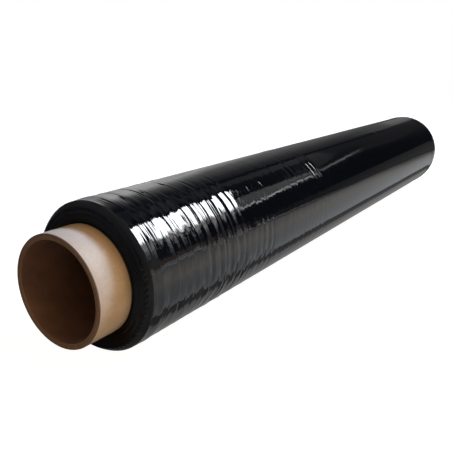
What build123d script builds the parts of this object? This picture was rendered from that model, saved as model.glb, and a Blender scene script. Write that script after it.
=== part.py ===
from build123d import *
import os
from math import cos, pi, radians, sin

# A hand roll of black stretch wrap: a spiral-wound board core, and the film that is
# wound on it, its free end pressed down along the far side. It lies along Y with its
# near end towards -Y, on the small flat that its weight presses into the soft turns.

# Driving dimensions, in millimetres
film_width = 500.0
film_diameter = 77.0
core_bore = 50.0
core_wall = 3.0
core_stub = 20.0
rest_flat_depth = 0.6

core_radius = core_bore / 2 + core_wall
film_radius = film_diameter / 2
half_width = film_width / 2
core_length = film_width + 2 * core_stub
axis_height = film_radius - rest_flat_depth

# The saw leaves the cut ends of the board tube with a small bevel, inside and out.
cut_bevel = 0.4

# The free end of the film is folded under for the next user, so it stands proud.
tail_step = 0.3
tail_angle = 205.0

# At each end the outer turns' edges slant back, bulging a little, up to a crisp corner
# with the outside, and a low ridge runs round the roll a short way in from it.
shoulder_depth = 3.3
shoulder_fall = 2.9
shoulder_bulge = 0.4
shoulder_steps = 4
end_taper = 0.2
ridge_place = 10.0
ridge_reach = 4.0
ridge_height = 0.15

# On an end face each group of turns stands in or out, by how the web wandered.
ring_pitch = 0.58
ring_step = 0.16
wander_across = 5.3
wander_start = 2.0
end_dish = 0.45
least_depth = 0.02
core_crevice = 0.9
crevice_width = 0.6

# Puckered hoops: turns that gathered as they were wound, each a touch off the axis.
pucker_end = 180.0
pucker_fading = 0.65
pucker_pitch = 5.0
pitch_spread = 0.35
pitch_wave = 2.4
pucker_height = 0.34
height_spread = 0.3
height_wave = 1.7
pucker_shift = 0.16
pucker_lean = radians(0.5)
golden_turn = radians(137.5)

# A band of sharper hoops part way along, and the nearly smooth rest of the roll.
band_start = 184.0
band_pitch = 3.4
band_hoops = 7
band_strength = 0.9
smooth_pitch = 36.0
smooth_strength = 0.2

# Cutting tools reach this far past what they cut.
overreach = 1.0


def core_tube():
    """The board tube, turned about the roll's axis from the section of its wall."""
    wall = Pos(core_bore / 2 + core_wall / 2, 0) * Rectangle(core_wall, core_length)
    wall = chamfer(wall.vertices(), cut_bevel)
    return revolve(wall, Axis.Y)


def turn(along, radius, shift=0.0, lean=0.0, heading=0.0):
    """One turn of film, at a distance from the near face of the wound film.

    Its outline is a spiral's last turn, which ends in the step at the free end. It
    may sit off the roll's axis by shift, and lean over, both towards heading.
    """
    centre = Vector(shift * cos(heading), along - half_width, shift * sin(heading))
    facing = Vector(sin(lean) * cos(heading), -cos(lean), sin(lean) * sin(heading))
    quarters = [
        Vector(radius + tail_step * (quarter / 4 - 0.5), 0).rotate(
            Axis.Z, tail_angle + 90 * quarter
        )
        for quarter in range(5)
    ]
    outline = ThreePointArc(*quarters[0:3]) + ThreePointArc(*quarters[2:5])
    outline += Line(quarters[4], quarters[0])
    return Plane(origin=centre, x_dir=(1, 0, 0), z_dir=facing) * make_face(outline)


def end_turns():
    """Turns up the near end's slanting shoulder, over its corner and on to the ridge."""
    turns = []
    for step in range(shoulder_steps + 1):
        part = step / shoulder_steps
        bulge = shoulder_bulge * sin(pi * part)
        radius = film_radius - end_taper - shoulder_fall * (1 - part)
        turns.append(turn(shoulder_depth * part - bulge, radius + bulge))
    turns.append(turn(ridge_place - ridge_reach, film_radius))
    turns.append(turn(ridge_place, film_radius + ridge_height))
    return turns


def hoops():
    """Where each hoop lies from the near face, and how strongly it puckers."""
    places = []
    along = ridge_place + pucker_pitch / 2
    while along < pucker_end:
        places.append((along, 1 - pucker_fading * along / pucker_end))
        along += pucker_pitch * (1 + pitch_spread * sin(pitch_wave * len(places)))
    places += [(band_start + i * band_pitch, band_strength) for i in range(band_hoops)]
    along = band_start + band_hoops * band_pitch + smooth_pitch / 2
    while along < film_width - 2 * ridge_place:
        places.append((along, smooth_strength))
        along += smooth_pitch
    return places


def puckered_turns():
    """The turns along the roll, proud and sunk by turns, each by its own amount."""
    turns = []
    for count, (along, strength) in enumerate(hoops()):
        side = 1 if count % 2 else -1
        unevenness = 1 - height_spread * (1 - sin(height_wave * count))
        height = pucker_height * strength * unevenness
        turns.append(
            turn(
                along,
                film_radius + side * height / 2,
                pucker_shift * strength,
                pucker_lean * strength,
                golden_turn * count,
            )
        )
    return turns


def ringed_end():
    """What an end face lacks of a flat one: the space over its rings, as a turned solid."""
    ring_start = core_radius + crevice_width
    ring_end = film_radius - end_taper - shoulder_fall
    rings = int((ring_end - ring_start) / ring_pitch)
    section = [
        (core_radius - overreach, -overreach),
        (core_radius - overreach, core_crevice),
        (core_radius, core_crevice),
    ]
    for ring in range(rings + 1):
        across = ring / rings
        depth = end_dish * sin(pi * across)
        depth += ring_step * sin(wander_across * across + wander_start)
        if ring % 2 == 0:
            depth += ring_step
        radius = ring_start + across * (ring_end - ring_start)
        section.append((radius, max(depth, least_depth)))
    section.append((ring_end + overreach, -overreach))
    places = [(radius, depth - half_width) for radius, depth in section]
    return revolve(make_face(Polyline(*places, close=True)), Axis.Y)


def film_roll():
    """The wound film: its outside lofted turn by turn, its ends ringed, its rest flat."""
    near_end = end_turns()
    far_end = [mirror(face, Plane.XZ) for face in reversed(near_end)]
    film = loft([*near_end, *puckered_turns(), *far_end], ruled=True)
    film -= Rot(90, 0, 0) * Cylinder(core_radius, film_width + 2 * overreach)
    near_rings = ringed_end()
    film -= near_rings
    film -= mirror(near_rings, Plane.XZ)
    below = Box(
        film_diameter,
        film_width + 2 * overreach,
        film_diameter,
        align=(Align.CENTER, Align.CENTER, Align.MAX),
    )
    return film - Pos(0, 0, -axis_height) * below


parts = {"core_tube": core_tube(), "film_roll": film_roll()}

os.makedirs("parts", exist_ok=True)
for name, part in parts.items():
    export_step(Pos(0, 0, axis_height) * part, f"parts/{name}.step")
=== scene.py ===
from math import atan2, cos, pi, radians, sin, tau

import bmesh
import bpy
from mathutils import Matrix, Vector, noise


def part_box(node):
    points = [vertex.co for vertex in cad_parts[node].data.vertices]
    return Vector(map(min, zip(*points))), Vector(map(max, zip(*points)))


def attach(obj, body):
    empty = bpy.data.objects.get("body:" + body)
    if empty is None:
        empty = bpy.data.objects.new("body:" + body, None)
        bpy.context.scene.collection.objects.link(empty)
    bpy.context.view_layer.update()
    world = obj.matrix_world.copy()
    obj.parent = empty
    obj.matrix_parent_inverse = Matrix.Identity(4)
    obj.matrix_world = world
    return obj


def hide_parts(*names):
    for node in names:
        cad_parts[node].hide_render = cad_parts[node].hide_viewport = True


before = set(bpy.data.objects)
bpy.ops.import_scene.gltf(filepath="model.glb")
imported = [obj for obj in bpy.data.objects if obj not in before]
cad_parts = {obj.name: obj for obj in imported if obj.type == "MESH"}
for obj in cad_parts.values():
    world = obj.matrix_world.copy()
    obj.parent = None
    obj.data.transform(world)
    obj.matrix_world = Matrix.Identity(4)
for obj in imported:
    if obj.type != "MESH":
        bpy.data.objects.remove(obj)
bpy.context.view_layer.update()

# The core is a tube of brown board, wound in a spiral from glued paper plies and sawn
# to length. It stands out of the film at both ends, where the hand holds it.
core_low, core_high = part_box("core_tube")
film_low, film_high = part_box("film_roll")
film_start = film_low.y
axis_height = (core_low.z + core_high.z) / 2
core_radius = (core_high.x - core_low.x) / 2
core_end = core_high.y
board_thickness = 0.003
saw_bevel = 0.0004
bevel_rounding = 0.3 * saw_bevel
behind_bevel = 6 * saw_bevel
core_steps = 160
core_crisp_angle = radians(50)
merge_distance = 1e-6


def turned(name, section, steps):
    """A closed section of (radius, place along the axis) corners, spun into a solid."""
    work = bmesh.new()
    corners = [work.verts.new((radius, along, axis_height)) for radius, along in section]
    sides = [work.edges.new((corners[i - 1], corners[i])) for i in range(len(corners))]
    bmesh.ops.spin(
        work,
        geom=corners + sides,
        cent=(0, 0, axis_height),
        axis=(0, 1, 0),
        angle=tau,
        steps=steps,
        use_merge=True,
    )
    bmesh.ops.remove_doubles(work, verts=work.verts, dist=merge_distance)
    bmesh.ops.recalc_face_normals(work, faces=work.faces)
    piece = bpy.data.objects.new(name, bpy.data.meshes.new(name))
    bpy.context.collection.objects.link(piece)
    return piece, work


def core_section():
    """Half the tube's wall, cut along the axis: bevelled at the saw cuts."""
    inner = core_radius - board_thickness
    near_end = [
        (inner, -core_end + behind_bevel),
        (inner, -core_end + saw_bevel),
        (inner + bevel_rounding, -core_end + bevel_rounding),
        (inner + saw_bevel, -core_end),
        (core_radius - saw_bevel, -core_end),
        (core_radius - bevel_rounding, -core_end + bevel_rounding),
        (core_radius, -core_end + saw_bevel),
        (core_radius, -core_end + behind_bevel),
    ]
    far_end = [(radius, -along) for radius, along in reversed(near_end)]
    return near_end + far_end


core, core_work = turned("board_core", core_section(), core_steps)
core_work.to_mesh(core.data)
core_work.free()
core.data.shade_smooth()
core.data.set_sharp_from_angle(angle=core_crisp_angle)


def new_material(name):
    """An empty material: itself, its node tree and its Principled shader."""
    material = bpy.data.materials.new(name)
    material.use_nodes = True
    return material, material.node_tree, material.node_tree.nodes["Principled BSDF"]


def feed(tree, socket, value):
    """Links an output to a socket, or sets a plain value on it."""
    if isinstance(value, bpy.types.NodeSocket):
        tree.links.new(value, socket)
    else:
        socket.default_value = value


def add_node(tree, kind, **inputs):
    """A new node, each of its named inputs fed with a value or another node's output."""
    node = tree.nodes.new("ShaderNode" + kind)
    for name, value in inputs.items():
        feed(tree, node.inputs[name.replace("_", " ")], value)
    return node


def maths(tree, operation, *terms):
    """The result of a Math node on outputs and plain numbers."""
    node = tree.nodes.new("ShaderNodeMath")
    node.operation = operation
    for socket, term in zip(node.inputs, terms):
        feed(tree, socket, term)
    return node.outputs["Value"]


def product(tree, first, *others):
    """Outputs and plain numbers, multiplied together."""
    for other in others:
        first = maths(tree, "MULTIPLY", first, other)
    return first


def total(tree, first, *others):
    """Outputs and plain numbers, added up."""
    for other in others:
        first = maths(tree, "ADD", first, other)
    return first


def minus(tree, value, taken):
    """A value with another taken from it."""
    return maths(tree, "SUBTRACT", value, taken)


def spread(tree, value, low, high, start=0.0, end=1.0):
    """A value between low and high, mapped to between start and end, and held there."""
    node = add_node(tree, "MapRange", Value=value)
    node.inputs["From Min"].default_value = low
    node.inputs["From Max"].default_value = high
    node.inputs["To Min"].default_value = start
    node.inputs["To Max"].default_value = end
    return node.outputs["Result"]


def blended(tree, mask, first, second):
    """The first colour where the mask is 0 and the second where it is 1."""
    node = tree.nodes.new("ShaderNodeMix")
    node.data_type = "RGBA"
    colours = [socket for socket in node.inputs if socket.type == "RGBA"]
    feed(tree, node.inputs["Factor"], mask)
    feed(tree, colours[0], first)
    feed(tree, colours[1], second)
    return [socket for socket in node.outputs if socket.type == "RGBA"][0]


def laid_over(tree, face, mask, strength, colour):
    """The face with a colour laid over it, by a mask and a strength."""
    return blended(tree, product(tree, mask, strength), face, colour)


def wound_streaks_group():
    """Streaks round the roll, the way paper and film are wound: by width and length."""
    tree = bpy.data.node_groups.new("wound_streaks", "ShaderNodeTree")
    tree.interface.new_socket("Vector", in_out="INPUT", socket_type="NodeSocketVector")
    tree.interface.new_socket("Width", in_out="INPUT", socket_type="NodeSocketFloat")
    tree.interface.new_socket("Length", in_out="INPUT", socket_type="NodeSocketFloat")
    tree.interface.new_socket("Height", in_out="OUTPUT", socket_type="NodeSocketFloat")
    given = tree.nodes.new("NodeGroupInput")
    result = tree.nodes.new("NodeGroupOutput")
    length = given.outputs["Length"]
    size = add_node(tree, "CombineXYZ", X=length, Y=given.outputs["Width"], Z=length)
    cells = tree.nodes.new("ShaderNodeVectorMath")
    cells.operation = "DIVIDE"
    tree.links.new(given.outputs["Vector"], cells.inputs[0])
    tree.links.new(size.outputs["Vector"], cells.inputs[1])
    grain = add_node(tree, "TexNoise", Vector=cells.outputs["Vector"], Scale=1.0, Detail=2.0)
    tree.links.new(grain.outputs["Fac"], result.inputs["Height"])
    return tree


wound_streaks = wound_streaks_group()


def streaks(tree, place, width, length):
    """The height of one set of streaks, of a width along the roll and a length round it."""
    node = tree.nodes.new("ShaderNodeGroup")
    node.node_tree = wound_streaks
    feed(tree, node.inputs["Vector"], place)
    feed(tree, node.inputs["Width"], width)
    feed(tree, node.inputs["Length"], length)
    return node.outputs["Height"]


def roll_places(tree):
    """Object coordinates, and from them the place along the axis, radius and angle."""
    place = tree.nodes.new("ShaderNodeTexCoord").outputs["Object"]
    parts = add_node(tree, "SeparateXYZ", Vector=place)
    across = parts.outputs["X"]
    along = parts.outputs["Y"]
    up = minus(tree, parts.outputs["Z"], axis_height)
    radius = maths(tree, "SQRT", total(tree, product(tree, across, across), product(tree, up, up)))
    angle = maths(tree, "ARCTAN2", up, across)
    return place, along, radius, angle


def ring_noise(tree, radius, angle, per_metre, detail):
    """Uneven rings round the axis, as the edges of many plies or turns make on an end."""
    across = add_node(tree, "CombineXYZ", X=product(tree, radius, per_metre), Y=angle)
    rings = add_node(tree, "TexNoise", Vector=across.outputs["Vector"], Scale=1.0, Detail=detail)
    return rings.outputs["Fac"]


# Board is brown outside, darker and redder in the bore, and shows its plies at the cuts.
# Noise mostly keeps to its usual range, so tones are spread over that.
usual_range = (0.35, 0.65)
tone_range = (0.3, 0.7)
board_dark = (0.49, 0.325, 0.18, 1)
board_pale = (0.585, 0.405, 0.245, 1)
bore_dark = (0.18, 0.09, 0.053, 1)
bore_pale = (0.25, 0.125, 0.07, 1)
sawn_dark = (0.23, 0.13, 0.075, 1)
sawn_pale = (0.36, 0.22, 0.135, 1)
fibre_width = 0.0006
fibre_length = 0.0016
fibre_share = 0.45
cloud_scale = 70.0
plies_per_metre = 2600.0

# Flecks of other fibres, at most one to a cell: how many cells there are to a metre, the
# size of a fleck in its cell, and how many of them are dark or pale.
fleck_scale = 330.0
fleck_size = 0.13
dark_fleck_share = 0.25
dark_fleck_strength = 0.55
dark_fleck = (0.10, 0.05, 0.03, 1)
pale_fleck_share = 0.1
pale_fleck_strength = 0.4
pale_fleck = (0.75, 0.65, 0.5, 1)

# The outer ply's seam goes once round the tube in seam_pitch. Its edges are in turns.
seam_pitch = 0.15
seam_place = 0.55
seam_edges = (0.0022, 0.0008)
seam_strength = 0.5
seam_colour = (0.16, 0.09, 0.045, 1)

# Where each finish starts and is full, by depth in the wall, or by how far it is from the
# sawn end or from the end of the film. Next to the film the board has painted shade: dark in
# the crevice against it, and a softer painted shade a few millimetres out from it.
bore_depths = (0.0024, 0.0028)
cut_reach = (0.00045, 0.0002)
worn_reach = (0.0016, 0.0006)
worn_strength = 0.15
worn_colour = (0.9, 0.8, 0.68, 1)
# Painted shade: the board is darkened in the crevice where it meets the film.
painted_crevice_shade_reach = (0.0007, 0.0001)
painted_crevice_shade_colour = (0.02, 0.014, 0.01, 1)
# Painted shade on the board, fading out a few millimetres from the film's end.
painted_near_film_shade_reach = (0.0045, 0.0005)
painted_near_film_shade_strength = 0.2
painted_near_film_shade_colour = (0.06, 0.035, 0.02, 1)

# The face of the board has a slight sheen, and its cuts and its bore have none.
face_roughness = 0.5
raw_roughness = 0.85
roughness_change = 0.05
ply_relief = 2.0
board_relief = 0.00003


def flecked(tree, face, place):
    """The board's face with a few dark and pale flecks in it."""
    cells = add_node(tree, "TexVoronoi", Vector=place, Scale=fleck_scale)
    chance = add_node(tree, "SeparateColor", Color=cells.outputs["Color"]).outputs["Red"]
    speck = maths(tree, "LESS_THAN", cells.outputs["Distance"], fleck_size)
    dark = product(tree, speck, maths(tree, "GREATER_THAN", chance, 1 - dark_fleck_share))
    pale = product(tree, speck, maths(tree, "LESS_THAN", chance, pale_fleck_share))
    face = laid_over(tree, face, dark, dark_fleck_strength, dark_fleck)
    return laid_over(tree, face, pale, pale_fleck_strength, pale_fleck)


def ply_seam(tree, along, angle):
    """The line where the edges of the outer ply meet, in a spiral round the tube."""
    turns = maths(tree, "DIVIDE", angle, tau)
    turns = total(tree, turns, maths(tree, "DIVIDE", along, seam_pitch))
    away = maths(tree, "ABSOLUTE", minus(tree, maths(tree, "FRACT", turns), seam_place))
    return spread(tree, away, *seam_edges)


def kraft_board():
    """Smooth brown board: streaky fibres, flecks, a ply's seam, plies at the cuts, and painted
    shade next to the film.
    """
    material, tree, shader = new_material("kraft_board")
    place, along, radius, angle = roll_places(tree)
    from_middle = maths(tree, "ABSOLUTE", along)
    from_end = minus(tree, core_end, from_middle)
    from_film = total(tree, from_middle, film_start)
    inside = spread(tree, radius, *(core_radius - depth for depth in bore_depths))
    outside = minus(tree, 1.0, inside)
    cut = spread(tree, from_end, *cut_reach)
    seam = ply_seam(tree, along, angle)

    fibres = streaks(tree, place, fibre_width, fibre_length)
    cloud = add_node(tree, "TexNoise", Vector=place, Scale=cloud_scale, Detail=3.0).outputs["Fac"]
    tone = total(tree, product(tree, fibres, fibre_share), product(tree, cloud, 1 - fibre_share))
    face = blended(tree, spread(tree, tone, *usual_range), board_dark, board_pale)
    face = flecked(tree, face, place)
    face = laid_over(tree, face, seam, seam_strength, seam_colour)
    bore = blended(tree, spread(tree, cloud, *usual_range), bore_dark, bore_pale)
    face = blended(tree, inside, face, bore)

    worn = spread(tree, from_end, *worn_reach, 0.0, worn_strength)
    face = laid_over(tree, face, worn, outside, worn_colour)
    # Painted shade: the board is darkened in the crevice against the film.
    crevice_painted_shade = spread(tree, from_film, *painted_crevice_shade_reach)
    face = laid_over(tree, face, crevice_painted_shade, outside, painted_crevice_shade_colour)
    # A softer painted shade on the board, a few millimetres out from the film.
    near_film_painted_shade = spread(tree, from_film, *painted_near_film_shade_reach, 0.0, painted_near_film_shade_strength)
    face = laid_over(tree, face, near_film_painted_shade, outside, painted_near_film_shade_colour)

    plies = ring_noise(tree, radius, angle, plies_per_metre, 1.0)
    ply_tone = spread(tree, plies, *usual_range)
    sawn = blended(tree, ply_tone, sawn_dark, sawn_pale)
    feed(tree, shader.inputs["Base Color"], blended(tree, cut, face, sawn))

    raw = total(tree, cut, inside)
    rough = spread(tree, raw, 0.0, 1.0, face_roughness, raw_roughness)
    sheen = spread(tree, tone, *tone_range, roughness_change, -roughness_change)
    feed(tree, shader.inputs["Roughness"], total(tree, rough, sheen))
    shader.inputs["IOR"].default_value = 1.5
    relief = minus(tree, total(tree, fibres, product(tree, cut, ply_tone, ply_relief)), seam)
    bump = add_node(tree, "Bump", Height=relief, Distance=board_relief, Strength=1.0)
    feed(tree, shader.inputs["Normal"], bump.outputs["Normal"])
    return material


core.data.materials.append(kraft_board())
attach(core, "root")
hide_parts("core_tube")

# The film is one long web of black stretch film, wound tight on the core. Its turns
# are too thin to tell apart along the roll, but on the ends they stack up as rings.
film_length = film_high.y - film_low.y
film_radius = 0.0385
shoulder_depth = 0.0033
shoulder_fall = 0.0029
shoulder_bulge = 0.0002
shoulder_steps = 8
end_taper = 0.0001
taper_length = 0.003
ridge_place = 0.0102
ridge_rise = 0.0041
ridge_fall = 0.006
ridge_height = 0.00032
film_steps = 220
film_crisp_angle = radians(28)

# On an end face each group of turns stands in or out, by how the web wandered.
ring_start = core_radius + 0.0006
ring_end = film_radius - end_taper - shoulder_fall
ring_count = 22
ring_step = 0.0002
slow_wander = 1.4 * ring_step
slow_wander_across = 5.3
slow_wander_start = 2
quick_wander = 0.6 * ring_step
quick_wander_across = 17
end_dish = 0.00045
least_depth = 2e-5
core_crevice = 0.0016
crevice_slope = 0.7

# Near its first end the film gathered as it was wound, in creases that come and go. The
# levels say how strongly it is gathered at places along the roll.
gather_end = 0.182
gather_levels = (
    (0.0, 0.95),
    (0.04, 1.1),
    (0.05, 1.15),
    (0.087, 1.0),
    (0.093, 0.14),
    (0.106, 0.34),
    (0.18, 0.34),
    (0.184, 0.5),
    (0.198, 0.5),
    (0.203, 0.12),
    (film_length, 0.08),
)
calm_start = 0.093
crease_pitch = 0.0042
pitch_change = 0.5
pitch_wave = 2.4
crease_half_width = 0.0012
width_share = 0.8
width_change = 0.35
width_wave = 1.3
crease_depth = 0.00016
proud_every = 3
proud_share = 0.7

# Some creases are sharper: fine ones behind the near corner, the first of the gathered
# ones, and a lone one far along. Each form is its half width, depth and least strength.
end_creases = (0.0046, 0.0061, 0.0078)
end_crease_form = (0.00055, 0.00005, 0.3)
first_crease = 0.0106
first_crease_form = (0.0007, 0.00008, 1.0)
lone_crease = 0.356
lone_crease_form = (0.0006, 0.00003, 0.0)

# Past the gathered stretch runs a band of ridges that stand proud, by place and height.
band_end = 0.1985
band_half_width = 0.0009
band_least_strength = 0.85
band_ridges = ((0.1846, 0.00005), (0.1882, 0.00017), (0.1934, 0.00011), (0.1968, 0.00006))

# Broader folds lie among the creases where the film gathered: place, half width, depth.
folds = (
    (0.0436, 0.0028, 0.00020),
    (0.0498, 0.0030, 0.00027),
    (0.0581, 0.0024, 0.00025),
    (0.0633, 0.0015, 0.00017),
    (0.0676, 0.0029, 0.00028),
    (0.0768, 0.0030, 0.00031),
    (0.0833, 0.0023, 0.00025),
    (0.0965, 0.0030, 0.00003),
    (0.1030, 0.0026, 0.00004),
    (0.1090, 0.0030, 0.00005),
    (0.1150, 0.0024, 0.00006),
)

# Rows of corners are this far apart, up to each place along the roll. A crease or fold
# has rows of its own, at these parts of its half width.
first_row = shoulder_depth + 0.0003
last_row = film_length - shoulder_depth - 0.001
row_steps = (
    (0.06, 0.0008),
    (band_end, 0.0012),
    (film_length - 0.012, 0.0045),
    (film_length, 0.001),
)
least_step = 0.00026
crease_rows = (0, -1, 1, -0.5, 0.5)
faint_crease_rows = (0,)
place_digits = 5


def gathering(along):
    """How strongly the film is gathered at a place, read between the levels."""
    for (start, low), (end, high) in zip(gather_levels, gather_levels[1:]):
        if along < end:
            return low + (high - low) * (along - start) / (end - start)
    return gather_levels[-1][1]


def all_creases():
    """Each crease's place, half width, depth and least strength: some stand proud."""
    creases = [(end_crease, *end_crease_form) for end_crease in end_creases]
    creases.append((first_crease, *first_crease_form))
    along = first_crease + crease_pitch
    while along < gather_end:
        number = len(creases)
        width = crease_half_width * (width_share + width_change * sin(width_wave * number))
        side = -proud_share if number % proud_every == 0 else 1
        creases.append((along, width, side * crease_depth * gathering(along), 0.0))
        along += crease_pitch * (1 + pitch_change * sin(pitch_wave * number))
    for band_ridge, height in band_ridges:
        creases.append((band_ridge, band_half_width, -height, band_least_strength))
    creases.append((lone_crease, *lone_crease_form))
    return creases


creases = all_creases()


def face_rows():
    """The end face's rings, from the core outwards, as (radius, depth below the end)."""
    rows = [(core_radius, core_crevice), (ring_start, core_crevice * crevice_slope)]
    for ring in range(ring_count + 1):
        across = ring / ring_count
        depth = end_dish * sin(pi * across)
        depth += slow_wander * sin(slow_wander_across * across + slow_wander_start)
        depth += quick_wander * sin(quick_wander_across * across)
        if ring % 2 == 0:
            depth += ring_step
        rows.append((ring_start + across * (ring_end - ring_start), max(depth, least_depth)))
    return rows


def shoulder_rows():
    """The slant of the outer turns' edges, up to the crisp corner with the outside."""
    rows = []
    for step in range(1, shoulder_steps + 1):
        part = step / shoulder_steps
        bulge = shoulder_bulge * sin(pi * part)
        rows.append((ring_end + shoulder_fall * part + bulge, shoulder_depth * part - bulge))
    return rows


def outside_places():
    """Where the outside has a row of corners: close together where it is gathered."""
    places = set()
    for place, half_width, *_ in creases:
        faint = calm_start < place < gather_end
        rows = faint_crease_rows if faint else crease_rows
        places.update(round(place + part * half_width, place_digits) for part in rows)
    for place, half_width, *_ in folds:
        if place < calm_start:
            places.update(round(place + part * half_width, place_digits) for part in crease_rows)
    along = first_row
    while along < last_row:
        places.add(round(along, place_digits))
        along += next(step for end, step in row_steps if along < end)
    spaced = []
    for along in sorted(places):
        if not spaced or along - spaced[-1] > least_step:
            spaced.append(along)
    return spaced


def film_section():
    """The wound film cut along the axis: end face, shoulder, outside and back again."""
    near = face_rows() + shoulder_rows()
    section = [(radius, film_start + depth) for radius, depth in near]
    for along in outside_places():
        from_end = min(along, film_length - along)
        tapered = max(0.0, 1 - (from_end - shoulder_depth) / taper_length)
        reach = ridge_rise if from_end < ridge_place else ridge_fall
        ridge = max(0.0, 1 - abs(from_end - ridge_place) / reach)
        radius = film_radius - end_taper * tapered + ridge_height * ridge
        section.append((radius, film_start + along))
    section += [(radius, film_start + film_length - depth) for radius, depth in reversed(near)]
    return section


film, film_work = turned("black_film_roll", film_section(), film_steps)

# Creases and folds change round the roll, by smooth noise: how often, how far apart the
# noise of one is from the next one's, and its start.
crease_change = (1.8, 7.3, 0)
crease_usual = 0.5
crease_swing = 1.3
fold_change = (1.5, 4.1, 60)
fold_usual = 0.9
fold_swing = 0.5

# They also fade with the height on the roll, which is -1 at its bottom and 1 at its top:
# the two heights that each fades between, and how much of it is left or lost.
crease_fade = (0.48, 0.60)
crease_fade_end = 0.06
crease_least = 0.35
band_fade = (0.3, 0.55)
band_least = 0.1
gather_fade = (0.85, 0.96)
top_calm = 0.75
slant_heights = (0.05, 0.5)
slant_start = 0.08
slant_end = 0.15
gather_slant = 0.026
fold_top_fade = (0.83, 0.93)
fold_top_calm = 0.75
fold_side = 0.45
fold_side_reach = 0.18
fold_side_calm = 0.6
fold_low_fade = (-0.22, -0.37)
fold_low_calm = 0.55
far_fold_start = 0.088
far_fold_fade = (0.35, 0.15)
far_fold_strength = 4.5

# Short creases and nicks in the outside turn: place along the roll and round it, half
# width, half length round the roll, depth and slant.
nicks = (
    (0.0172, radians(78), 0.0011, 0.0060, 0.00038, 0.15),
    (0.0325, radians(80), 0.0010, 0.0045, 0.00032, 0.15),
    (0.0515, radians(83), 0.0009, 0.0036, 0.00020, 0.1),
    (0.0235, radians(-21), 0.0014, 0.0026, 0.00036, -0.5),
    (0.0570, radians(-37), 0.0011, 0.0028, 0.00032, -0.8),
)

# Ripples in streaks round the roll: height, width, how often they change round it, and
# the start of their noise. The rows of corners wander a little along the roll as well,
# and the edges on the shoulder are ruffled.
gathered_ripples = ((0.00015, 0.0045, 4.6, 0), (0.00006, 0.0024, 6.0, 90))
slack_ripple = (0.00005, 0.03, 1.2, 180)
row_wander = (0.0013, 0.02, 1.3, 270)
ruffle = (0.00012, 1.0, 11.0, 0)
ruffle_start = 0.55
ruffle_end = 0.95

# The film's seat on the core stays round, and creases start past the shoulder's corner.
seat_end = ring_start + 0.0001
outside_start = shoulder_depth * 1.01

# Low on its sides the soft roll bulges a little, where it is pressed down on its rest.
bulge_height = 0.0005
bulge_angle = radians(48)
bulge_spread = radians(38)

# The free end is pressed down on the side away from the camera, and stands a bit proud.
# The two rows of corners beside it are drawn close to it, so its step is steep.
tail_step = 0.0003
tail_angle = radians(205)
tail_reach = radians(360 / film_steps)
tail_squeeze = 0.12


def part_way(value, low, high):
    """How far a value has come from low to high, held at 0 and at 1."""
    return min(1.0, max(0.0, (value - low) / (high - low)))


def rounded(away):
    """The smooth slope of a crease: 1 in its middle and 0 at its half width."""
    return (1 - away) ** 2 * (1 + 2 * away)


def uneven(number, angle, often, apart, start):
    """Smooth noise round the roll, for a crease or fold by its number."""
    place = Vector((often * cos(angle), often * sin(angle), apart * number + start))
    return noise.noise(place)


def crease_rise(along, angle):
    """How far the creases lift the film here: each fades in and out round the roll."""
    rise = 0.0
    for number, (place, half_width, depth, least) in enumerate(creases):
        away = abs(along - place) / half_width
        if away < 1:
            change = uneven(number, angle, *crease_change)
            strength = max(least, crease_usual + crease_swing * change)
            if depth > 0 and place < crease_fade_end:
                kept = part_way(sin(angle), *crease_fade)
                strength *= crease_least + (1 - crease_least) * kept
            if gather_end < place < band_end:
                strength *= max(band_least, part_way(sin(angle), *band_fade))
            rise -= depth * strength * rounded(away)
    return rise


def folded(along, angle):
    """How far the broad folds sink the film here: most on the side towards the light."""
    up = sin(angle)
    depth = 0.0
    for number, (place, half_width, sunk) in enumerate(folds):
        away = abs(along - place) / half_width
        if away < 1:
            change = uneven(number, angle, *fold_change)
            depth += sunk * (fold_usual + fold_swing * change) * rounded(away)
    depth *= 1 - fold_top_calm * part_way(up, *fold_top_fade)
    depth *= 1 - fold_side_calm * max(0.0, 1 - abs(up - fold_side) / fold_side_reach)
    depth *= 1 - fold_low_calm * part_way(up, *fold_low_fade)
    if along > far_fold_start:
        depth *= far_fold_strength * part_way(up, *far_fold_fade)
    return depth


def nicked(along, angle):
    """How far the nicks sink the film here."""
    depth = 0.0
    for place, turn, half_width, half_length, sunk, slant in nicks:
        arc = (angle - turn) * film_radius
        away = ((along - place - slant * arc) / half_width) ** 2 + (arc / half_length) ** 2
        if away < 1:
            depth += sunk * (1 - away) ** 2
    return depth


def rippled(along, angle, height, width, turns, start):
    """The height of a ripple here, from smooth noise with a start of its own."""
    place = Vector((turns * cos(angle), turns * sin(angle), along / width + start))
    return height * noise.noise(place)


def outside_rise(along, angle):
    """How far the outside of the film stands above or below an even roll here."""
    slanting = 1 - part_way(sin(angle), *slant_heights)
    slant = gather_slant * slanting if slant_start < along < slant_end else 0.0
    strength = gathering(along - slant)
    strength *= 1 - top_calm * part_way(sin(angle), *gather_fade)
    rise = crease_rise(along, angle) - nicked(along, angle) - folded(along, angle)
    for ripple in gathered_ripples:
        rise += strength * rippled(along, angle, *ripple)
    return rise + rippled(along, angle, *slack_ripple)


def side_bulge(angle):
    """How far the roll bulges here: most at the bulge's own angle below the level."""
    below_level = -atan2(sin(angle), abs(cos(angle)))
    away = abs(below_level - bulge_angle) / bulge_spread
    return bulge_height * max(0.0, 1 - away**2) ** 2


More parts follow.
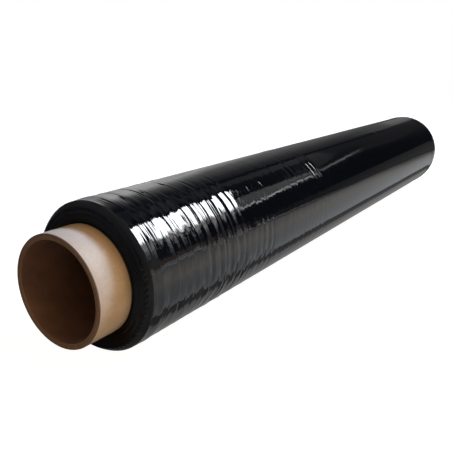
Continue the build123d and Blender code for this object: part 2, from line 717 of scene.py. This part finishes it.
for corner in film_work.verts:
    along = corner.co.y - film_start
    across = Vector((corner.co.x, 0, corner.co.z - axis_height))
    angle = atan2(across.z, across.x)
    radius = across.length
    if radius < seat_end:
        continue
    outwards = (radius - ring_start) / (film_radius - ring_start)
    if outside_start < along < film_length - outside_start:
        radius += outside_rise(along, angle)
        corner.co.y += rippled(along, angle, *row_wander)
    elif ruffle_start < outwards < ruffle_end:
        part = (outwards - ruffle_start) / (ruffle_end - ruffle_start)
        corner.co.y += sin(pi * part) * rippled(along, angle, *ruffle)
    off_tail = (angle - tail_angle + pi) % tau - pi
    if abs(off_tail) < tail_reach:
        angle = tail_angle + tail_squeeze * off_tail
    turned_by = ((angle - tail_angle) % tau) / tau
    radius += outwards * (tail_step * (turned_by - 0.5) + side_bulge(angle))
    corner.co.x = radius * cos(angle)
    corner.co.z = max(axis_height + radius * sin(angle), 0.0)

film_work.to_mesh(film.data)
film_work.free()
film.data.shade_smooth()
film.data.set_sharp_from_angle(angle=film_crisp_angle)

# The web is deep black and glossy, and the cut edges of its turns are matt and a little
# paler. Streaks are given as their width along the roll and their length round it.
web_colour = (0.0012, 0.0013, 0.0018, 1)
edge_dark = (0.0006, 0.0007, 0.0011, 1)
edge_pale = (0.0055, 0.006, 0.0075, 1)
edge_reach = (shoulder_depth + 0.0002, shoulder_depth - 0.0003)
edge_range = (0.4, 0.6)
edge_roughness = (0.3, 0.5)
web_roughness = (0.045, 0.085)
smudge_scale = 30.0
smudge_range = (0.35, 0.7)
rings_per_metre = 1500.0
fine_streaks = (0.0011, 0.005)
fine_share = 0.4
middle_streaks = (0.0021, 0.009)
slack_streaks = (0.012, 0.05)
slack_share = 0.8
film_relief = 0.00009

# Where the streaks fade along the roll, and how much of them is left past there.
near_fade = (0.088, 0.1)
near_fade_left = 0.35
far_fade = (0.198, 0.206)
far_fade_left = 0.6

# A row of beads runs round the shoulder, where the edges of the outer turns cling.
bead_radius = ring_end + 0.0009
bead_edges = (0.0003, 0.0006)
beads_round = 80.0
wobble_streaks = (1.0, 0.009)
bead_wobble = 9.0
bead_heights = (0.25, 0.45)
bead_strengths = (2.4, 0.1)


def wound_relief(tree, place, from_start, up):
    """Streaks round the roll: strong where it gathered, faint on top and further along."""
    slanted = total(tree, from_start, spread(tree, up, *slant_heights, -gather_slant, 0.0))
    gathered = product(
        tree,
        spread(tree, slanted, *near_fade, 1.0, near_fade_left),
        spread(tree, from_start, *far_fade, 1.0, far_fade_left),
        spread(tree, up, *gather_fade, 1.0, 1 - top_calm),
    )
    fine = product(tree, streaks(tree, place, *fine_streaks), fine_share)
    gathers = product(tree, total(tree, fine, streaks(tree, place, *middle_streaks)), gathered)
    return total(tree, gathers, product(tree, streaks(tree, place, *slack_streaks), slack_share))


def bead_relief(tree, place, radius, angle, up):
    """The row of beads, uneven round the shoulder and strongest low down."""
    wobble = product(tree, streaks(tree, place, *wobble_streaks), bead_wobble)
    bead = maths(tree, "SINE", total(tree, product(tree, angle, beads_round), wobble))
    away = maths(tree, "ABSOLUTE", minus(tree, radius, bead_radius))
    in_row = spread(tree, away, *bead_edges, 1.0, 0.0)
    return product(tree, bead, in_row, spread(tree, up, *bead_heights, *bead_strengths))


def black_stretch_film():
    """Glossy black film with fine streaks where it is gathered, and matt cut edges."""
    material, tree, shader = new_material("black_stretch_film")
    place, along, radius, angle = roll_places(tree)
    up = maths(tree, "SINE", angle)
    from_start = minus(tree, along, film_start)
    from_end = minus(tree, -film_start, maths(tree, "ABSOLUTE", along))
    edges = spread(tree, from_end, *edge_reach)
    web = minus(tree, 1.0, edges)
    rings = ring_noise(tree, radius, angle, rings_per_metre, 2.0)

    edge_relief = total(tree, rings, bead_relief(tree, place, radius, angle, up))
    relief = product(tree, wound_relief(tree, place, from_start, up), web)
    relief = total(tree, relief, product(tree, edge_relief, edges))
    bump = add_node(tree, "Bump", Height=relief, Distance=film_relief, Strength=1.0)
    feed(tree, shader.inputs["Normal"], bump.outputs["Normal"])

    smudges = add_node(tree, "TexNoise", Vector=place, Scale=smudge_scale, Detail=3.0)
    glossy = spread(tree, smudges.outputs["Fac"], *smudge_range, *web_roughness)
    matt = spread(tree, rings, *usual_range, *edge_roughness)
    feed(tree, shader.inputs["Roughness"], blended(tree, edges, glossy, matt))
    stacked = blended(tree, spread(tree, rings, *edge_range), edge_dark, edge_pale)
    feed(tree, shader.inputs["Base Color"], blended(tree, edges, web_colour, stacked))
    feed(tree, shader.inputs["Coat Weight"], web)
    shader.inputs["IOR"].default_value = 1.36
    shader.inputs["Coat Roughness"].default_value = 0.06
    shader.inputs["Coat IOR"].default_value = 1.35
    return material


film.data.materials.append(black_stretch_film())
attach(film, "root")
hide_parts("film_roll")

# The camera stands where the photograph was taken from: in front, to the right and above.
# Its place, its two angles and its focal length were fitted to the roll's own edges.
camera_place = (0.19605, -0.42453, 0.13958)
camera_fall = radians(16.407)
camera_turn = radians(33.683)
camera = bpy.data.objects.new("camera", bpy.data.cameras.new("camera"))
bpy.context.collection.objects.link(camera)
camera.location = camera_place
camera.rotation_euler = (pi / 2 - camera_fall, 0, camera_turn)
camera.data.sensor_width = 36
camera.data.lens = 44.75
camera.data.clip_start = 0.01
bpy.context.scene.camera = camera
bpy.context.scene.view_settings.view_transform = "Standard"

# The roll lies on a plain white floor, which the camera sees lit to white. To the roll it is
# matt, and pale or dim by where it lies, as its reflection in the film shows: this is painted
# light and shade, with painted shade beside the roll and to its left, and a painted shadow
# in front of its near end.
floor_size = 1.6
floor_sink = 0.0001
floor_work = bmesh.new()
bmesh.ops.create_grid(floor_work, x_segments=1, y_segments=1, size=floor_size)
floor = bpy.data.objects.new("floor", bpy.data.meshes.new("floor"))
bpy.context.collection.objects.link(floor)
floor_work.to_mesh(floor.data)
floor_work.free()
floor.location.z = -floor_sink

# Painted light and shade: the floor is pale towards the front and right, and falls off to dim far
# beyond the roll.
painted_floor_light_levels = (
    (-0.18, 0.95),
    (-0.1, 0.78),
    (-0.03, 0.68),
    (0.05, 0.62),
    (0.2, 0.5),
    (0.3, 0.4),
    (0.45, 0.18),
    (0.7, 0.15),
)
floor_level_ends = (-0.2, 0.7)
floor_tint = (0.92, 0.665, 0.37)
# Painted shade on the floor close beside the roll, along its length.
floor_near_painted_shade = (0.46, 0.35, 0.215, 1)
near_reach = (0.065, 0.13)
# Painted shade on the floor to the left of the roll.
floor_left_painted_shade = (0.30, 0.22, 0.15, 1)
left_reach = (0.0, -0.1)
# A painted shadow on the floor in front of the roll's near end.
floor_front_painted_shadow = (0.12, 0.10, 0.08, 1)
front_reach = (-0.30, -0.42)
front_slant = 0.3
beyond_slant = 0.6
floor_glow = 0.97


def graded(tree, value, ends, levels, tint):
    """The tint at the level that holds for a value, between the two ends."""
    low, high = ends
    ramp = add_node(tree, "ValToRGB", Fac=spread(tree, value, low, high))
    stops = ramp.color_ramp.elements
    stops.remove(stops[1])
    for number, (level_value, level) in enumerate(levels):
        place = (level_value - low) / (high - low)
        stop = stops[0] if number == 0 else stops.new(place)
        stop.position = place
        stop.color = (level * tint[0], level * tint[1], level * tint[2], 1)
    return ramp.outputs["Color"]


def pale_floor():
    """Matt and pale to the roll, with painted light and shade by place, and glowing besides to the
    camera alone.
    """
    material, tree, shader = new_material("pale_floor")
    place = tree.nodes.new("ShaderNodeTexCoord").outputs["Object"]
    parts = add_node(tree, "SeparateXYZ", Vector=place)
    across = parts.outputs["X"]
    ahead = parts.outputs["Y"]
    forward = total(tree, ahead, product(tree, across, front_slant))
    beyond = minus(tree, ahead, product(tree, across, beyond_slant))
    # The floor's colour is painted light and shade, by where it lies.
    painted_floor_light = graded(tree, beyond, floor_level_ends, painted_floor_light_levels, floor_tint)
    pale = blended(tree, spread(tree, across, *near_reach), floor_near_painted_shade, painted_floor_light)
    pale = blended(tree, spread(tree, across, *left_reach), pale, floor_left_painted_shade)
    pale = blended(tree, spread(tree, forward, *front_reach), pale, floor_front_painted_shadow)
    feed(tree, shader.inputs["Base Color"], pale)
    shader.inputs["Roughness"].default_value = 0.9
    shader.inputs["Specular IOR Level"].default_value = 0.0
    glow = add_node(tree, "Emission", Strength=floor_glow)
    added = tree.nodes.new("ShaderNodeAddShader")
    tree.links.new(shader.outputs["BSDF"], added.inputs[0])
    tree.links.new(glow.outputs["Emission"], added.inputs[1])
    switch = tree.nodes.new("ShaderNodeMixShader")
    path = tree.nodes.new("ShaderNodeLightPath")
    tree.links.new(path.outputs["Is Camera Ray"], switch.inputs["Fac"])
    tree.links.new(shader.outputs["BSDF"], switch.inputs[1])
    tree.links.new(added.outputs["Shader"], switch.inputs[2])
    tree.links.new(switch.outputs["Shader"], tree.nodes["Material Output"].inputs["Surface"])
    return material


floor.data.materials.append(pale_floor())

# Flat cards of light stand far off, so the film mirrors daylight and the shapes round
# it. Their corners are (azimuth, elevation) in degrees, seen from the roll.
far_distance = 12.0
in_front_distance = 11.5
behind_distance = 12.5
daylight = (0.96, 1.0, 1.03)
blue_daylight = (0.465, 0.87, 1.8)
warm_light = (1, 0.84, 0.66)
brown_light = (0.42, 0.28, 0.2)


def card(name, corners, strength, colour=(1, 1, 1)):
    """A flat card of light that only the roll and the floor see."""
    work = bmesh.new()
    work.faces.new([work.verts.new(corner) for corner in corners])
    piece = bpy.data.objects.new(name, bpy.data.meshes.new(name))
    bpy.context.collection.objects.link(piece)
    work.to_mesh(piece.data)
    work.free()
    material, tree, shader = new_material(name)
    tree.nodes.remove(shader)
    glow = add_node(tree, "Emission", Color=(*colour, 1), Strength=strength)
    tree.links.new(glow.outputs["Emission"], tree.nodes["Material Output"].inputs["Surface"])
    piece.data.materials.append(material)
    piece.visible_camera = False
    return piece


def far_card(name, corners, strength, colour=(1, 1, 1), distance=far_distance):
    """A far-off card, its corners given as (azimuth, elevation) seen from the roll."""
    places = []
    for azimuth, elevation in corners:
        turn, rise = radians(azimuth), radians(elevation)
        towards = Vector((sin(turn) * cos(rise), cos(turn) * cos(rise), sin(rise)))
        places.append(distance * towards)
    return card(name, places, strength, colour)


window_low_edge = [(10.5, 38), (20, 35.5), (27, 30), (31, 29), (34, 31)]
window_top = [(42, 36.5), (43, 54), (27, 54), (25, 50), (20, 47), (16, 44.5), (12.5, 42.5)]
window = far_card("window", window_low_edge + window_top, 20, daylight)
foot_edge = [(10.5, 36), (20, 33.5), (28, 27), (31, 26), (33, 27.5), (36, 30), (44, 36), (44, 38)]
window_foot = far_card("window_foot", foot_edge + window_low_edge[::-1], 8, daylight)
glow_corners = [(8, 36), (20, 33), (30, 28), (38, 33), (38, 42), (8, 42)]
window_glow = far_card("window_glow", glow_corners, 76, blue_daylight)

# Only the gloss shows the first two, and the third lights only what is matt.
window.visible_diffuse = False
window_foot.visible_diffuse = False
window_glow.visible_glossy = False

far_card("under_window", [(33, 27.5), (36, 30), (44, 36), (52, 36), (52, 24), (36, 24)], 2.0)
far_card("under_window_low", [(37, 24), (52, 24), (52, 19), (39, 19)], 0.9)
far_card("under_window_foot", [(42, 19), (52, 19), (52, 14), (43, 14)], 0.5)
far_card("sill", [(23, 21), (31, 21), (31, 22.2), (23, 22.3)], 2.5)
far_card("sill_middle", [(18, 21), (23, 21), (23, 22.3), (18, 22.4)], 1.5)
far_card("sill_far", [(9, 21), (18, 21.2), (18, 22.2), (9, 22)], 0.45)
far_card("sill_end", [(1, 20), (9, 21), (9, 22), (1, 20.8)], 0.2)
reveal = [(14, 23), (31, 22.4), (31, 26), (28, 27), (20, 31), (18, 31), (17, 28), (14.5, 27)]
far_card("reveal", reveal, 0.35, distance=behind_distance)
far_card("strip", [(-9, 25.5), (-1, 25.5), (-1, 42), (-9, 42)], 0.085)
far_card("strip_low", [(-9, 22), (-1, 22), (-1, 25.5), (-9, 25.5)], 0.028)
far_card("strip_right", [(-1, 25), (9, 24), (13, 24), (13, 27), (-1, 28)], 0.07)
far_card("head", [(-9, 42), (9, 42), (12, 47), (-9, 47)], 0.16)
far_card("head_left", [(-17, 43), (-9, 43), (-9, 47), (-17, 48)], 0.09)
far_card("head_high", [(-17, 48), (-9, 47), (12, 47), (16, 62), (-17, 62)], 0.08)
far_card("dim_patch", [(-9, 16), (9, 16), (9, 21), (-1, 22), (-9, 22)], 0.026)
pale_patch = [(-18, 5), (-13, 5), (-13, 13.5), (-14.5, 12.5), (-16.5, 9.5), (-18, 8)]
far_card("pale_patch", pale_patch, 0.165)
pale_patch_left = [(-18, 8), (-16.5, 9.5), (-14.5, 12.5), (-14.5, 14.5), (-18, 14)]
far_card("pale_patch_left", pale_patch_left, 0.085)
far_card("pale_patch_edge", [(-13, 5), (-11.2, 5), (-11.2, 15.2), (-13, 13.5)], 0.16)
far_card("pale_patch_side", [(-11.2, 5), (-9.5, 5), (-9.5, 15), (-11.2, 15.2)], 0.12)
patch_top = [(-9.5, 15), (-9.3, 17.5), (-14.5, 17.5), (-14.5, 12.5), (-13, 13.5), (-11.5, 15.3)]
far_card("pale_patch_top", patch_top, 0.085)
post_left = [(-15.8, 42), (-13.3, 30), (-11.5, 24.5), (-9.4, 18)]
post_right = [(-6.6, 18), (-8.3, 24.5), (-10, 30), (-12.5, 42)]
far_card("post", post_left + post_right, 0.013, distance=in_front_distance)
far_card("skirting", [(-8, -0.5), (36, -0.5), (36, 4.4), (-8, 4.2)], 0.05)
far_floor = [(34, -4), (60, -5), (60, 1.0), (38, 1.0), (34, -0.5)]
far_card("far_floor", far_floor, 0.92, distance=in_front_distance)
floor_end = [(18, -4), (34, -4), (34, -0.5), (29.5, -0.7), (28, -1.0), (26, -1.8), (18, -2.5)]
far_card("far_floor_end", floor_end, 0.76, distance=in_front_distance)
far_card("low_wall", [(36, -1.5), (60, -1.5), (60, 4.5), (36, 4.5)], 0.64)
far_card("brown_rail", [(36, 5.5), (60, 5.5), (60, 8.5), (36, 8.5)], 0.8, brown_light)

# These cards are near, so their corners are places round the roll, in metres. The last
# three stand or lie on the floor, and only the film's gloss shows them.
card("overhead", [(-1.2, -1.0, 3), (1.4, -1.0, 3), (1.4, 1.0, 3), (-1.2, 1.0, 3)], 0.7, warm_light)
strip_start = -0.25
strip_end = 0.36


def floor_strip(name, left, right, strength):
    """A strip of light flat on the floor, along the film and past its far end."""
    near_corners = [(left, strip_start, 0), (right, strip_start, 0)]
    far_corners = [(right, strip_end, 0), (left, strip_end, 0)]
    return card(name, near_corners + far_corners, strength)


edge_corners = [(-0.15, 0.40, 0), (0.45, 0.86, 0), (0.45, 0.86, 0.06), (-0.15, 0.40, 0.05)]
gloss_only = (
    card("floor_edge", edge_corners, 0.06),
    floor_strip("floor_line", 0.0370, 0.0470, 0.09),
    floor_strip("floor_under", 0.004, 0.0370, 0.225),
)
for piece in gloss_only:
    piece.visible_diffuse = False
    piece.visible_shadow = False

# Round the roll it is dim, and pale to the left. The camera sees it white. The levels
# are read by direction, from -1 at the far left to 1 at the far right.
room_levels = (
    (-1.0, 0.05),
    (-0.86, 0.08),
    (-0.8, 0.2),
    (-0.76, 0.33),
    (-0.72, 0.47),
    (-0.66, 0.74),
    (-0.61, 0.9),
    (-0.55, 0.66),
    (-0.5, 0.41),
    (-0.47, 0.32),
    (-0.41, 0.19),
    (-0.36, 0.12),
    (-0.31, 0.07),
    (-0.2, 0.04),
    (-0.1, 0.03),
    (0.0, 0.024),
    (0.1, 0.017),
    (0.58, 0.02),
    (0.66, 0.08),
    (0.72, 0.4),
    (1.0, 0.5),
)
room_level_ends = (-1.0, 1.0)
white_tint = (1, 1, 1)
black = (0, 0, 0, 1)
white = (1, 1, 1, 1)
front_light = (0.14, 0.15, 0.17, 1)
front_high = (0.30, 0.32, 0.38, 1)
front_starts = (0.1, -0.3)
front_heights = (0.35, 0.65)

# Matt surfaces are lit by a warm light instead. Each line is two directions, across, up or
# ahead, and then how strong the light is at them, or how far it is lost.
lamp_light = (1.0, 0.74, 0.46)
lamp_across = (-0.1, 0.9, 0.15, 1.5)
lamp_up = (0.0, 0.8, 1.2, 0.85)
lamp_lost_ahead = (0.2, -0.5, 0.0, 1.0)
lamp_lost_up = (0.0, 0.9, 0.8, 0.35)

# Parts of the room are dimmer, to the left and elsewhere: where each starts and is full
# across and ahead, and how dim it is.
left_side = (-0.3, -0.5)
away_ahead = (0.71, 0.8, 0.0, 0.62)
far_away_ahead = (0.85, 0.92, 0.0, 0.1)
near_side_across = (-0.71, -0.66)
near_side_ahead = (0.66, 0.61, 0.0, 0.8)
dim_parts = (
    ((-0.56, -0.48), (0.77, 0.69), 0.35),
    ((0.1, 0.2), (0.86, 0.93), 0.5),
    ((-0.595, -0.62), (0.71, 0.77), 0.6),
)


def room_dimness(tree, across, ahead):
    """How far the room is dimmed in each direction, over its levels."""
    left = spread(tree, across, *left_side)
    away = total(tree, spread(tree, ahead, *away_ahead), spread(tree, ahead, *far_away_ahead))
    near_side = product(tree, left, spread(tree, across, *near_side_across))
    near_side = product(tree, near_side, spread(tree, ahead, *near_side_ahead))
    dimmed = maths(tree, "MAXIMUM", product(tree, left, away), near_side)
    for sideways, forwards, dimness in dim_parts:
        reach = spread(tree, ahead, *forwards, 0.0, dimness)
        dim_part = product(tree, spread(tree, across, *sideways), reach)
        dimmed = maths(tree, "MAXIMUM", dimmed, dim_part)
    return dimmed


def room_gloss(tree, across, ahead, up):
    """What the film mirrors of the room: its levels, and a grey light in front."""
    levels = graded(tree, across, room_level_ends, room_levels, white_tint)
    levels = blended(tree, room_dimness(tree, across, ahead), levels, black)
    front = blended(tree, spread(tree, up, *front_heights), front_light, front_high)
    return blended(tree, spread(tree, ahead, *front_starts), levels, front)


def room_lamp(tree, across, ahead, up):
    """What lights matt surfaces: a warm light, strongest from the right."""
    strength = product(tree, spread(tree, across, *lamp_across), spread(tree, up, *lamp_up))
    lost = product(tree, spread(tree, ahead, *lamp_lost_ahead), spread(tree, up, *lamp_lost_up))
    lamp = tree.nodes.new("ShaderNodeVectorMath")
    lamp.operation = "SCALE"
    lamp.inputs[0].default_value = lamp_light
    feed(tree, lamp.inputs["Scale"], product(tree, strength, minus(tree, 1.0, lost)))
    return lamp.outputs["Vector"]


def dim_room():
    """The world: white to the camera, and to the roll a room that it mirrors."""
    world = bpy.data.worlds.new("room")
    world.use_nodes = True
    tree = world.node_tree
    direction = tree.nodes.new("ShaderNodeTexCoord").outputs["Generated"]
    parts = add_node(tree, "SeparateXYZ", Vector=direction)
    towards = (parts.outputs["X"], parts.outputs["Y"], parts.outputs["Z"])
    path = tree.nodes.new("ShaderNodeLightPath").outputs
    gloss = room_gloss(tree, *towards)
    light = blended(tree, path["Is Diffuse Ray"], gloss, room_lamp(tree, *towards))
    room = tree.nodes["Background"]
    feed(tree, room.inputs["Color"], light)
    backdrop = add_node(tree, "Background", Color=white)
    switch = tree.nodes.new("ShaderNodeMixShader")
    tree.links.new(path["Is Camera Ray"], switch.inputs["Fac"])
    tree.links.new(room.outputs["Background"], switch.inputs[1])
    tree.links.new(backdrop.outputs["Background"], switch.inputs[2])
    tree.links.new(switch.outputs["Shader"], tree.nodes["World Output"].inputs["Surface"])
    return world


bpy.context.scene.world = dim_room()
